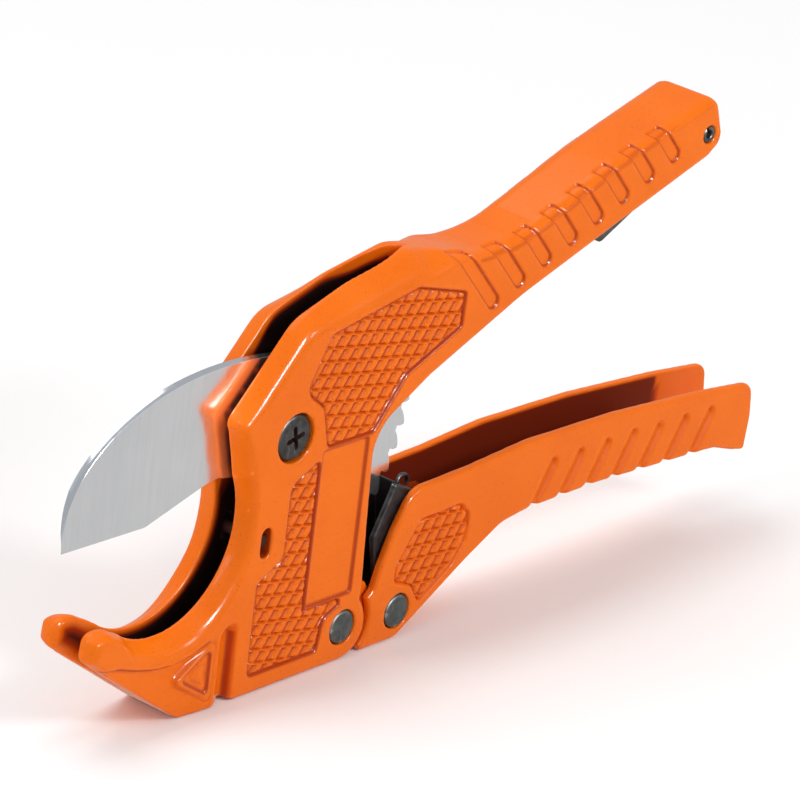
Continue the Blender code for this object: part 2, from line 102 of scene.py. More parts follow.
def rounded(corners, step=6.0):
    """Outline through corners given as (x, z) or (x, z, fillet radius)."""
    points = []
    n = len(corners)
    for i, corner in enumerate(corners):
        p = Vector(corner[:2])
        r = corner[2] if len(corner) > 2 else 0.0
        if r <= 0.0:
            points.append((p.x, p.y))
            continue
        to_prev = Vector(corners[i - 1][:2]) - p
        to_next = Vector(corners[(i + 1) % n][:2]) - p
        half = to_prev.angle(to_next) / 2.0
        reach = min(r / math.tan(half), 0.49 * to_prev.length, 0.49 * to_next.length)
        r = reach * math.tan(half)
        start = p + to_prev.normalized() * reach
        stop = p + to_next.normalized() * reach
        centre = p + (to_prev.normalized() + to_next.normalized()).normalized() * (r / math.sin(half))
        a0 = math.atan2(start.y - centre.y, start.x - centre.x)
        a1 = math.atan2(stop.y - centre.y, stop.x - centre.x)
        turn = (a1 - a0 + math.pi) % (2.0 * math.pi) - math.pi
        count = max(2, math.ceil(math.degrees(abs(turn)) / step))
        for k in range(count + 1):
            a = a0 + turn * k / count
            points.append((centre.x + r * math.cos(a), centre.y + r * math.sin(a)))
    return points


def tidy(points):
    """Outline run anticlockwise in X and Z, with coincident neighbours dropped."""
    kept = []
    for p in points:
        if not kept or math.dist(p, kept[-1]) > 0.02:
            kept.append(p)
    if math.dist(kept[0], kept[-1]) <= 0.02:
        kept.pop()
    total = sum(x0 * z1 - x1 * z0 for (x0, z0), (x1, z1) in zip(kept, kept[1:] + kept[:1]))
    if total < 0.0:
        kept.reverse()
    return kept


def body_outline():
    corners = [
        (-17.6, 5.8, 2.5), (0.2, 24.6, 12.0), (16.0, 29.5, 30.0), (34.5, 32.6, 10.0), (55.0, 28.7, 30.0),
        (68.0, 29.4, 40.0), (98.0, 40.2, 60.0), (131.2, 49.3, 2.5), (135.2, 38.5, 3.5), (130.5, 35.2, 4.0),
        (100.0, 25.5, 60.0), (70.0, 15.7, 60.0), (42.0, 4.0, 20.0), (26.0, -5.0, 10.0), (27.0, -24.0, 30.0),
        (27.9, -39.5, 2.0), (27.7, -43.3),
    ]
    points = rounded(corners)
    points += arc(HANDLE_AXIS, EAR_R, 42.0, -90.0, 24)
    mouth = arc(JAW_CENTRE, JAW_R, 240.0, 386.0, 56)
    points += rounded([(22.5, -56.0), (-10.5, -56.0, 2.0), (-14.0, -55.2, 2.0), (-17.0, -56.0, 2.0),
                       (-27.2, -56.0, 3.0), (-56.2, -36.2, 2.4), (-55.5, -30.3, 2.8), (-50.4, -30.1, 7.0),
                       mouth[0]])[2:-1]
    return tidy(points + mouth)


# hollows between the cheeks, seen from the side
SLOT = [(-64.0, 60.0), (-64.0, -50.0), (-49.0, -44.6), (-45.0, -40.6), (-36.5, -46.4), (-30.0, -48.9),
        (-10.0, -45.9), (30.0, -45.9), (45.5, -20.0), (45.5, 12.0), (37.6, 26.5), (37.6, 60.0)]
SLIT = [(-64.0, -30.0), (-64.0, -60.0), (-41.0, -49.1), (-39.2, -47.9), (-35.8, -45.4), (-38.3, -44.0),
        (-50.0, -36.0)]
SLIT_HALF = 1.3
TIP_SWEEP_R = 63.1
CAVITY = [(12.4, -60.0), (40.0, -60.0), (40.0, -11.0), (24.0, -11.0), (12.4, -22.0)]
CHANNEL = [(36.4, 27.0), (55.0, 26.0), (68.0, 26.8), (98.0, 37.5), (140.0, 49.4), (140.0, 30.0),
           (131.0, 30.0), (100.0, 20.0), (70.0, 10.0), (54.0, 4.0), (50.0, 4.0), (44.0, 14.0)]


def lower_outline():
    front = [(41.5, -21.9, 7.0), (36.4, -30.6, 8.0), (33.4, -37.8), (31.9, -42.6)]
    edge = arc(HANDLE_AXIS, 8.8, 30.0, -44.0, 16)
    under = [(29.6, -56.0), (41.0, -56.0, 5.0), (62.0, -43.6, 40.0), (73.5, -37.6, 12.0)]
    grip = [(82.0, -36.5, 20.0), (106.0, -36.3, 60.0), (142.0, -38.0, 60.0)]
    end = [(149.0, -38.4, 6.0), (156.0, -40.6, 4.0), (160.6, -41.6, 0.8), (161.4, -33.0, 8.0),
           (160.4, -25.2, 3.5), (141.0, -23.0, 30.0), (110.0, -20.7, 60.0), (80.0, -20.0, 40.0),
           (60.0, -21.4, 40.0)]
    return tidy(rounded(under + grip + end + front + edge))


# ---------- cast shapes as fields on a grid ----------

def signed(outline, x, z):
    """Distance to a closed outline, mm, negative inside."""
    best = np.full(x.shape, 1e9)
    inside = np.zeros(x.shape, bool)
    for (x0, z0), (x1, z1) in zip(outline, outline[1:] + outline[:1]):
        dx, dz = x1 - x0, z1 - z0
        t = np.clip(((x - x0) * dx + (z - z0) * dz) / (dx * dx + dz * dz), 0.0, 1.0)
        best = np.minimum(best, (x - x0 - t * dx) ** 2 + (z - z0 - t * dz) ** 2)
        if z0 != z1:
            inside ^= ((z0 > z) != (z1 > z)) & (x < dx * (z - z0) / dz + x0)
    return np.where(inside, -1.0, 1.0) * np.sqrt(best)


def ramp(a, low, high):
    """0 below low, 1 above high, smooth between."""
    t = np.clip((a - low) / (high - low), 0.0, 1.0)
    return t * t * (3.0 - 2.0 * t)


def common(a, b, r):
    """Field of the part inside both fields, with its edge rounded by r."""
    sharp = np.minimum(np.maximum(a, b), -r)
    return sharp + np.sqrt(np.maximum(a + r, 0.0) ** 2 + np.maximum(b + r, 0.0) ** 2)


def cut(a, b, r):
    """Field of a without b, with the new edge rounded by r."""
    return common(a, -b, r)


def capsule(x, z, start, stop, half_width):
    """Distance to a slot with round ends, negative inside."""
    dx, dz = stop[0] - start[0], stop[1] - start[1]
    t = np.clip(((x - start[0]) * dx + (z - start[1]) * dz) / (dx * dx + dz * dz), 0.0, 1.0)
    return np.hypot(x - start[0] - t * dx, z - start[1] - t * dz) - half_width


def disc(x, z, centre, radius):
    return np.hypot(x - centre[0], z - centre[1]) - radius


def dent(distance, soft):
    """1 well inside a recess, 0 outside, with a wall of the given width."""
    return ramp(-distance, -0.5 * soft, 0.5 * soft)


class Grid:
    """Sample points of a field, even in x and z, and mirrored across the middle plane in y."""

    def __init__(self, x0, x1, z0, z1, half, step):
        self.xs = np.arange(x0, x1 + step, step)
        self.zs = np.arange(z0, z1 + step, step)
        self.ys = (np.arange(int(half / step) + 3) + 0.5) * step
        self.x, self.z = np.meshgrid(self.xs, self.zs, indexing="ij")
        self.y = self.ys[None, :, None]

    def mesh(self, far, near=None, tile=10):
        """Closed mesh of the zero level, with flat tiles joined; without near, the far half is mirrored."""
        field = np.concatenate([(far if near is None else near)[:, ::-1, :], far], axis=1)
        ys = np.concatenate([-self.ys[::-1], self.ys])
        axes = (self.xs, ys, self.zs)
        inside = field < 0.0
        shape = [n - 1 for n in field.shape]
        keys, spots, quads, kinds = [], [], [], []
        for axis in range(3):
            low = [slice(None)] * 3
            high = [slice(None)] * 3
            low[axis], high[axis] = slice(0, -1), slice(1, None)
            at = np.argwhere(inside[tuple(low)] != inside[tuple(high)])
            after = at.copy()
            after[:, axis] += 1
            f0, f1 = field[tuple(at.T)], field[tuple(after.T)]
            share = f0 / (f0 - f1)
            spot = np.stack([axes[k][at[:, k]] for k in range(3)], axis=1)
            spot[:, axis] += share * (axes[axis][after[:, axis]] - axes[axis][at[:, axis]])
            u, v = (axis + 1) % 3, (axis + 2) % 3
            ring = []
            for du, dv in ((-1, -1), (0, -1), (0, 0), (-1, 0)):
                cell = at.copy()
                cell[:, u] += du
                cell[:, v] += dv
                ring.append((cell[:, 0] * shape[1] + cell[:, 1]) * shape[2] + cell[:, 2])
            ring = np.stack(ring, axis=1)
            keys.append(ring.ravel())
            spots.append(np.repeat(spot, 4, axis=0))
            flip = f0 > 0.0
            ring[flip] = ring[flip][:, ::-1]
            quads.append(ring)
            kinds.append(np.full(len(ring), axis))
        cells, index = np.unique(np.concatenate(keys), return_inverse=True)
        spots = np.concatenate(spots)
        count = np.bincount(index)
        points = np.stack([np.bincount(index, spots[:, k]) / count for k in range(3)], axis=1)
        quads = np.searchsorted(cells, np.concatenate(quads))
        kinds = np.concatenate(kinds)
        return points, join_flat(points, quads, kinds, cells, shape, tile)


def join_flat(points, quads, kinds, cells, shape, tile):
    """Faces with each wholly flat tile of the grid, facing across the tool, joined into one."""
    y = points[:, 1]
    level = (kinds == 1) & (np.ptp(y[quads], axis=1) < 1e-6)
    flat = np.ones(len(points), bool)
    flat[quads[~level].ravel()] = False
    ix = cells // (shape[1] * shape[2])
    iz = cells % shape[2]
    layer = (cells // shape[2]) % shape[1]
    good = level & flat[quads].all(axis=1)
    qx, qz = ix[quads].min(axis=1), iz[quads].min(axis=1)
    tag = ((qx // tile) * 100000 + qz // tile) * 1000 + layer[quads[:, 0]]
    _, which, amount = np.unique(tag[good], return_inverse=True, return_counts=True)
    full = amount == tile * tile
    joined = np.zeros(len(quads), bool)
    joined[np.flatnonzero(good)[full[which]]] = True
    faces = quads[~joined].tolist()
    lone = np.zeros(len(points), bool)
    lone[quads[~joined].ravel()] = True
    lookup = {(a, b, c): i for i, (a, b, c) in enumerate(zip(ix.tolist(), iz.tolist(), layer.tolist()))}
    signs = {}
    for q, t in zip(quads[joined], tag[joined]):
        if t not in signs:
            a, b, c = points[q[0]], points[q[1]], points[q[2]]
            signs[t] = np.cross(b - a, c - a)[1] > 0.0
    for t, outward in signs.items():
        c = int(t % 1000)
        x0 = int(t // 1000 // 100000) * tile
        z0 = int(t // 1000 % 100000) * tile
        loop = [(x0, z0 + k) for k in range(tile)] + [(x0 + k, z0 + tile) for k in range(tile)]
        loop += [(x0 + tile, z0 + tile - k) for k in range(tile)]
        loop += [(x0 + tile - k, z0) for k in range(tile)]
        corners = {(x0, z0), (x0, z0 + tile), (x0 + tile, z0 + tile), (x0 + tile, z0)}
        ids = [lookup[(a, b, c)] for a, b in loop]
        kept = [i for i, p in zip(ids, loop) if p in corners or lone[i]]
        faces.append(kept if outward else kept[::-1])
    return faces


# ---------- objects ----------

def place(points):
    """Millimetres from the pivot to metres in the frame."""
    return np.asarray(points) * MM + np.array(PIVOT)


def new_object(name, points, faces, mat, smooth=None):
    mesh = bpy.data.meshes.new(name)
    mesh.from_pydata(place(points).tolist(), [], faces)
    used = np.zeros(len(mesh.vertices), bool)
    for p in mesh.polygons:
        used[list(p.vertices)] = True
    if not used.all():
        bm = bmesh.new()
        bm.from_mesh(mesh)
        bmesh.ops.delete(bm, geom=[v for v in bm.verts if not v.link_faces], context="VERTS")
        bm.to_mesh(mesh)
        bm.free()
    mesh.materials.append(mat)
    mesh.shade_smooth()
    if smooth:
        mesh.set_sharp_from_angle(angle=math.radians(smooth))
    ob = bpy.data.objects.new(name, mesh)
    bpy.context.scene.collection.objects.link(ob)
    return ob


def shade(ob, values):
    """Keeps how deep in shadow each point lies, 0 outside to 1 deep inside, for the enamel to paint as
    shade.
    """
    layer = ob.data.attributes.new("inner", "FLOAT", "POINT")
    layer.data.foreach_set("value", np.asarray(values, np.float32))


def spots(ob):
    """The mesh's points in millimetres from the pivot."""
    co = np.zeros(len(ob.data.vertices) * 3)
    ob.data.vertices.foreach_get("co", co)
    return ((co.reshape(-1, 3) - np.array(PIVOT)) / MM).T


def attach(ob, body, slot, *nodes):
    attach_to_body(ob, body)
    if nodes:
        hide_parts(*nodes)


def loft(name, rings, mat, smooth=30.0, closed=False):
    """Solid through rings of points of equal count, capped at both ends unless it closes on itself."""
    count = len(rings[0])
    points = [p for ring in rings for p in ring]
    faces = []
    total = len(rings)
    for k in range(total if closed else total - 1):
        a, b = k * count, ((k + 1) % total) * count
        for i in range(count):
            j = (i + 1) % count
            faces.append((a + i, a + j, b + j, b + i))
    if not closed:
        faces.append(tuple(range(count))[::-1])
        faces.append(tuple(range((total - 1) * count, total * count)))
    ob = new_object(name, points, faces, mat)
    bm = bmesh.new()
    bm.from_mesh(ob.data)
    bmesh.ops.recalc_face_normals(bm, faces=bm.faces)
    bm.to_mesh(ob.data)
    bm.free()
    ob.data.shade_smooth()
    ob.data.set_sharp_from_angle(angle=math.radians(smooth))
    return ob


def turned(name, centre, profile, mat, count=72, smooth=30.0):
    """Turned piece about an axis along Y; profile is (radius, y)."""
    rings = []
    for r, y in profile:
        rings.append([(x, y, z) for x, z in arc(centre, r, 0.0, 360.0, count)[:-1]])
    return loft(name, rings, mat, smooth)


def shrunk(points, inset):
    """Outline moved inwards; inset is one distance or one for each point."""
    n = len(points)
    moved = []
    for i, p in enumerate(points):
        here = Vector(p)
        before = (here - Vector(points[i - 1])).normalized()
        after = (Vector(points[(i + 1) % n]) - here).normalized()
        left = Vector((-before.y - after.y, before.x + after.x)).normalized()
        grow = 1.0 / max(0.5, left.dot(Vector((-before.y, before.x))))
        d = inset[i] if isinstance(inset, list) else inset
        moved.append((here.x + left.x * d * grow, here.y + left.y * d * grow))
    return moved


def plate(name, outline, rings, mat, smooth=30.0):
    """Flat piece from one outline; rings are (y, inset)."""
    outline = tidy(outline)
    return loft(name, [[(x, y, z) for x, z in shrunk(outline, d)] for y, d in rings], mat, smooth)


# ---------- materials ----------

class Looks:
    """Builds a material's nodes."""

    def __init__(self, name):
        self.mat = bpy.data.materials.new(name)
        self.mat.use_nodes = True
        self.nodes = self.mat.node_tree.nodes
        self.links = self.mat.node_tree.links
        self.shader = self.nodes["Principled BSDF"]
        self.coords = self.nodes.new("ShaderNodeTexCoord").outputs["Object"]

    def set(self, **values):
        for key, value in values.items():
            self.shader.inputs[key.replace("_", " ")].default_value = value

    def noise(self, scale, detail=3.0, stretch=None, rough=0.5):
        node = self.nodes.new("ShaderNodeTexNoise")
        node.inputs["Scale"].default_value = scale
        node.inputs["Detail"].default_value = detail
        node.inputs["Roughness"].default_value = rough
        source = self.coords
        if stretch:
            mapping = self.nodes.new("ShaderNodeMapping")
            mapping.inputs["Scale"].default_value = stretch
            self.links.new(source, mapping.inputs["Vector"])
            source = mapping.outputs["Vector"]
        self.links.new(source, node.inputs["Vector"])
        return node.outputs["Fac"]

    def ramp(self, value, stops):
        node = self.nodes.new("ShaderNodeValToRGB")
        ramp_data = node.color_ramp
        while len(ramp_data.elements) < len(stops):
            ramp_data.elements.new(0.5)
        for element, (place_at, colour) in zip(ramp_data.elements, stops):
            element.position = place_at
            element.color = (*colour, 1.0) if isinstance(colour, tuple) else (colour, colour, colour, 1.0)
        self.links.new(value, node.inputs["Fac"])
        return node.outputs["Color"]

    def mix(self, share, a, b, blend="MIX"):
        node = self.nodes.new("ShaderNodeMix")
        node.data_type = "RGBA"
        node.blend_type = blend
        for socket, value in ((node.inputs["Factor"], share), (node.inputs["A"], a), (node.inputs["B"], b)):
            if isinstance(value, (int, float)):
                socket.default_value = value
            elif isinstance(value, tuple):
                socket.default_value = (*value, 1.0)
            else:
                self.links.new(value, socket)
        return node.outputs["Result"]

    def edges(self, low, high):
        """0 in hollows and 1 on ridges, from the mesh's own shape; low and high say where it turns."""
        geometry = self.nodes.new("ShaderNodeNewGeometry")
        return self.ramp(geometry.outputs["Pointiness"], [(low, 0.0), (high, 1.0)])

    def bump(self, height, distance, strength=1.0):
        node = self.nodes.new("ShaderNodeBump")
        node.inputs["Distance"].default_value = distance
        node.inputs["Strength"].default_value = strength
        self.links.new(height, node.inputs["Height"])
        self.links.new(node.outputs["Normal"], self.shader.inputs["Normal"])

    def colour(self, socket):
        self.links.new(socket, self.shader.inputs["Base Color"])

    def roughness(self, socket):
        self.links.new(socket, self.shader.inputs["Roughness"])


def enamel(name):
    """Orange enamel, brighter on edges as painted highlight, redder in creases as painted shade, and darker
    where the inner attribute rises, as painted shade of hollows.
    """
    look = Looks(name)
    broad = look.noise(60.0, 3.0)
    base = look.ramp(broad, [(0.3, (0.82, 0.145, 0.002)), (0.7, (0.87, 0.164, 0.003))])
    speck = look.ramp(look.noise(2600.0, 2.0), [(0.28, 0.72), (0.36, 1.0)])
    base = look.mix(1.0, base, speck, "MULTIPLY")
    # Painted highlight: convex edges turn a brighter orange.
    base = look.mix(look.edges(0.52, 0.62), base, (0.95, 0.19, 0.02))
    # Painted shade: concave creases turn dark red.
    base = look.mix(look.edges(0.40, 0.487), (0.36, 0.036, 0.003), base)
    # Painted shade: the inner attribute turns hollows dark red, then near black deep inside.
    inner = look.nodes.new("ShaderNodeAttribute")
    inner.attribute_name = "inner"
    base = look.mix(look.ramp(inner.outputs["Fac"], [(0.0, 0.0), (0.4, 1.0)]), base, (0.40, 0.036, 0.006))
    base = look.mix(look.ramp(inner.outputs["Fac"], [(0.35, 0.0), (1.0, 1.0)]), base, (0.016, 0.006, 0.005))
    look.colour(base)
    look.roughness(look.ramp(look.noise(240.0, 4.0), [(0.3, 0.28), (0.7, 0.40)]))
    look.bump(look.noise(900.0, 2.0), 0.00003, 0.6)
    look.set(Coat_Weight=0.2, Coat_Roughness=0.12, Specular_IOR_Level=0.08)
    return look.mat


def blade_steel(name):
    """Satin ground steel, with fine grinding lines up the face and faint stains."""
    look = Looks(name)
    lines = look.noise(900.0, 4.0, (1.0, 0.2, 0.05), 0.65)
    broad = look.noise(45.0, 3.0)
    base = look.ramp(broad, [(0.3, (0.88, 0.885, 0.90)), (0.7, (0.94, 0.945, 0.96))])
    base = look.mix(0.06, base, look.ramp(lines, [(0.35, 0.3), (0.65, 0.9)]))
    rim = look.nodes.new("ShaderNodeAttribute")
    rim.attribute_name = "rim"
    base = look.mix(rim.outputs["Fac"], base, (0.60, 0.64, 0.70))
    look.colour(base)
    look.roughness(look.ramp(lines, [(0.3, 0.10), (0.7, 0.20)]))
    look.bump(lines, 0.00001, 0.5)
    look.set(Metallic=0.95)
    return look.mat


def dark_steel(name, low, high, rough, metallic=0.8, specular=0.5):
    """Blackened or plated steel with scuffs and worn edges."""
    look = Looks(name)
    mottle = look.noise(700.0, 5.0)
    base = look.ramp(mottle, [(0.3, low), (0.7, high)])
    scratch = look.ramp(look.noise(1500.0, 3.0, (1.0, 0.3, 0.12), 0.7), [(0.60, 0.0), (0.72, 0.5)])
    base = look.mix(scratch, base, tuple(min(1.0, 2.2 * c) for c in high))
    base = look.mix(look.edges(0.53, 0.60), base, tuple(min(1.0, 2.0 * c) for c in high))
    look.colour(base)
    look.roughness(look.ramp(mottle, [(0.3, rough - 0.08), (0.7, rough + 0.10)]))
    look.bump(mottle, 0.00003, 0.5)
    look.set(Metallic=metallic, Specular_IOR_Level=specular)
    return look.mat


# ---------- cast body ----------

PAD = rounded([(9.5, -5.2, 0.6), (23.6, -5.2, 0.6), (23.6, -40.6, 0.6), (9.5, -40.6, 0.6)])
KNURL_HIGH = rounded([(8.0, 21.0, 2.0), (34.6, 25.6, 2.0), (50.6, 21.2, 1.0), (50.3, 13.4, 1.0),
                      (34.0, 6.4, 3.0), (25.0, -4.6, 1.5), (10.6, -4.6, 1.5), (8.0, 5.0, 3.0),
                      (1.8, 9.6, 3.0)])
KNURL_LOW = rounded([(8.9, -6.8, 1.0), (8.9, -41.2, 0.4), (23.6, -41.2, 1.0), (15.6, -45.0, 3.0),
                     (14.4, -52.0, 1.0), (-7.2, -52.0, 1.5), (-7.2, -31.0, 1.5), (0.4, -27.0, 3.0),
                     (0.4, -11.0, 3.0)])
KNURL_LEVER = rounded([(45.0, -29.6, 1.5), (58.6, -29.2, 2.5), (61.8, -32.4, 2.5), (61.4, -38.0, 3.0),
                       (57.6, -43.4, 2.0), (47.6, -49.6, 1.0), (44.6, -45.0, 2.0), (38.4, -42.6, 1.0),
                       (38.6, -38.6, 1.0)])
BED_DEPTH = 0.95
SIGN_OUTER = rounded([(-30.6, -47.2, 1.2), (-18.2, -39.8, 1.2), (-18.2, -54.9, 1.2)], 20.0)
SIGN_INNER = rounded([(-28.0, -47.2, 0.8), (-19.6, -42.2, 0.8), (-19.6, -52.4, 0.8)], 20.0)
SIGN_MARK = rounded([(-25.0, -47.2, 0.5), (-21.0, -44.8, 0.5), (-21.0, -49.8, 0.5)], 20.0)
BELOW_RIDGE = [(-60.0, -34.0), (-53.0, -38.4), (-47.5, -38.8), (-42.0, -40.6), (-36.0, -42.0),
               (-31.0, -42.4), (-25.0, -41.6), (-20.0, -39.6), (-8.0, -38.0), (-8.0, -70.0), (-62.0, -70.0)]
SPRING_HOLE = ((-5.8, -20.2), (-5.8, -23.8), 1.6)
NOTCHES = 8
NOTCH_DEPTH = 0.7
NOTCH_END = 4.4
WALL_SHADOW = 0.34
CREASE_SHADOW = 0.16
FAR_AWAY = 9.0


def notch_distance(x, z):
    """Distance to the nearest finger notch of the upper handle."""
    best = np.full(x.shape, 1e9)
    for i in range(NOTCHES):
        low = (60.2 + 8.24 * i, 16.9 + 3.05 * i)
        best = np.minimum(best, capsule(x, z, low, (low[0] - 13.6, low[1] + 14.6), 1.75))
    return best


def finger_share(x, z):
    """Extra rounding of the jaw's two finger ends, mm."""
    return 1.75 * ramp(-x, 43.5, 48.5) * ramp(z, -41.0, -37.0)


def face_height(x, z):
    """Height of the cheek's outer face over the middle plane: beds, pad, sign, panel and thumb groove."""
    height = BODY_HALF - BED_DEPTH * dent(signed(KNURL_HIGH, x, z), 0.5)
    height -= BED_DEPTH * dent(signed(KNURL_LOW, x, z), 0.5)
    height -= 0.6 * dent(signed(PAD, x, z), 0.4)
    in_sign = signed(SIGN_OUTER, x, z)
    scoop_line = signed(BELOW_RIDGE, x, z)
    scoop = ramp(-scoop_line, -0.3, 1.3) * (1.6 - 0.7 * ramp(-scoop_line, 2.0, 11.0)) * ramp(-x, 18.0, 27.0)
    height -= scoop * (1.0 - dent(in_sign, 1.5))
    height -= 0.35 * dent(np.abs(in_sign) - 0.35, 0.5)
    height -= 0.6 * dent(signed(SIGN_INNER, x, z), 0.5)
    height += 0.45 * dent(signed(SIGN_MARK, x, z), 0.6)
    side = x + 14.0
    cross = np.where(side < 1.2, ramp(side, -4.0, 1.2), 1.0 - ramp(side, 1.2, 2.4))
    height -= 2.3 * cross * ramp(-z - 0.14 * side ** 2, 37.4, 40.4)
    return height


def body_field(grid):
    """Fields of the far and the near half."""
    x, z, y = grid.x, grid.z, grid.y
    edge = signed(body_outline(), x, z)
    on_handle = ramp(x, 38.0, 62.0)
    head_top = ramp(z, 2.0, 12.0) * (1.0 - ramp(x + 0.6 * (22.0 - z), 34.0, 48.0) * ramp(-z, -22.0, -12.0))
    head_top *= 1.0 - ramp(x - z, 10.0, 22.0)
    jaw = ramp(-x, 6.0, 12.0) * ramp(5.0 - z, -2.0, 6.0)
    jaw *= 1.0 - ramp(disc(x, z, JAW_CENTRE, JAW_R), 4.5, 6.5)
    jaw *= 1.0 - 0.75 * ramp(-x, 42.0, 48.0)
    above = ramp(z - 0.36 * x, -2.0, 4.0)
    low_edge = 0.4 * ramp(-z, 46.0, 52.0)
    width = 0.7 - low_edge + head_top * (1.2 + 2.6 * ramp(x, -2.0, 18.0)) * (1.0 - on_handle)
    width += above * on_handle * 0.9 * (1.0 - 0.5 * ramp(x, 70.0, 120.0))
    width += jaw * (0.8 + 1.6 * ramp(-x, 14.0, 26.0))
    drop = 0.7 - low_edge + (head_top * (1.0 - on_handle) + jaw * 0.95) * 4.2 + above * on_handle * 1.2
    width, drop = width[:, None, :], drop[:, None, :]
    finger = finger_share(x, z)[:, None, :]
    faces = y - face_height(x, z)[:, None, :]
    slope = ((y - BODY_HALF) * width + (width + edge[:, None, :]) * drop) / np.hypot(width, drop)
    crease = 0.45 + 1.0 * np.maximum(head_top * (1.0 - on_handle), jaw)
    rim = 0.7 - 0.35 * ramp(-z, 46.0, 52.0)
    field = common(faces, slope, crease[:, None, :])
    field = common(field, edge[:, None, :], rim[:, None, :] + finger)
    notch = notch_distance(x, z)[:, None, :]
    below_top = edge[:, None, :] + 1.3
    near = hollow(field + NOTCH_DEPTH * dent(common(notch, NOTCH_END - y, 0.6), 0.4), grid)
    far = hollow(field + NOTCH_DEPTH * dent(common(notch, below_top, 0.6), 0.4), grid)
    return far, near


def hollow(field, grid):
    """The casting's slot, cavities and bores."""
    x, z, y = grid.x, grid.z, grid.y
    finger = finger_share(x, z)[:, None, :]
    narrow = ramp(x, 22.0, 37.4) * ramp(z, 18.0, 24.0)
    at_teeth = 1.5 * (1.0 - ramp(disc(x, z, BLADE_AXIS, TOOTH_TIP_R), 0.4, 1.6))
    slot_half = np.maximum(SLOT_HALF * np.sqrt(np.clip(1.0 - narrow ** 2, 0.01, 1.0)), at_teeth)[:, None, :]
    for outline, half, soft in ((SLOT, slot_half, 0.45 + finger), (CAVITY, CAVITY_HALF, 0.4),
                                (CHANNEL, CAVITY_HALF, 0.4)):
        hole = common(y - half, signed(outline, x, z)[:, None, :], 0.3)
        field = cut(field, hole, soft)
    sweep = np.maximum(disc(x, z, BLADE_AXIS, TIP_SWEEP_R), signed(SLIT, x, z))
    field = cut(field, common(y - SLIT_HALF, sweep[:, None, :], 0.2), 0.3)
    bores = np.minimum(disc(x, z, HANDLE_AXIS, 4.0), disc(x, z, LATCH_AXIS, 2.1))
    bores = np.minimum(bores, disc(x, z, BLADE_AXIS, 3.3))
    bores = np.minimum(bores, capsule(x, z, *SPRING_HOLE))
    field = cut(field, bores[:, None, :] + 0.0 * y, 0.35)
    counterbore = common(disc(x, z, BLADE_AXIS, 5.5)[:, None, :], 5.2 - y, 0.2)
    return cut(field, counterbore, 0.35)


def recess_shadow(x, y, z, depth):
    """Painted shade as redder lines along the recesses' walls and the upper handle's crease, and dark walls
    in the spring hole.
    """
    lines = np.minimum(np.abs(signed(PAD, x, z)), np.abs(notch_distance(x, z) + 0.1) + 0.18)
    for outline in (SIGN_INNER, KNURL_HIGH, KNURL_LOW):
        lines = np.minimum(lines, np.abs(signed(outline, x, z)))
    at_valley = (z < -40.5) & (np.abs(z + 48.0) < 8.5)
    lines = np.where(at_valley, np.minimum(lines, np.abs(x + 12.4)), lines)
    off_ridge = (x > -20.0) | (z < -44.0) | (x < -52.0)
    lines = np.minimum(lines, np.abs(signed(BELOW_RIDGE, x, z) + 0.5) + FAR_AWAY * off_ridge)
    outside = (np.abs(y) > NOTCH_END) & ((y < 0.0) | (depth > 1.8))
    walls = WALL_SHADOW * (1.0 - ramp(lines, 0.12, 0.55)) * outside
    in_hole = (capsule(x, z, *SPRING_HOLE) < 0.3) * (np.abs(y) < 7.3) * (np.abs(y) > SLOT_HALF)
    walls += in_hole * np.where(y < 0.0, WALL_SHADOW, 1.0)
    off_handle = (x < 54.0) | (z < 0.38 * x)
    crease = np.abs(depth - 0.7 - 0.9 * (1.0 - 0.5 * ramp(x, 70.0, 120.0))) + FAR_AWAY * off_handle
    return np.maximum(walls, CREASE_SHADOW * (1.0 - ramp(crease, 0.1, 0.6)) * outside)


def body_shadow(x, y, z):
    """How deep in shadow each point of the casting lies, from 0 outside to 1 inside the slot."""
    depth = -signed(body_outline(), x, z)
    start = 0.7 + 1.6 * ramp(-x, -2.0, 6.0) * ramp(z, -14.0, -8.0)
    start += 1.5 * ramp(x, 14.0, 26.0) * ramp(z, 14.0, 20.0)
    in_slot = ramp(depth, start, 1.7 + start + 2.6 * ramp(-x, 42.0, 46.0))
    in_slot *= (np.abs(y) < SLOT_HALF + 0.25) * (signed(SLOT, x, z) < 0.4)
    rear = np.minimum(signed(CAVITY, x, z), signed(CHANNEL, x, z))
    in_rear = ramp(depth, 0.5, 2.0) * (np.abs(y) < CAVITY_HALF + 0.25) * (rear < 0.4)
    return np.maximum.reduce([in_slot, 0.8 * in_rear, recess_shadow(x, y, z, depth)])


def make_body(mat):
    grid = Grid(-60.0, 138.0, -58.0, 52.0, BODY_HALF, CAST_STEP)
    points, faces = grid.mesh(*body_field(grid))
    ob = new_object("body_casting", points, faces, mat)
    shade(ob, body_shadow(*spots(ob)))
    attach(ob, "frame", "body_enamel", "body")


# ---------- lower handle ----------

GROOVES = 7
LEVER_SHADOW = 0.72


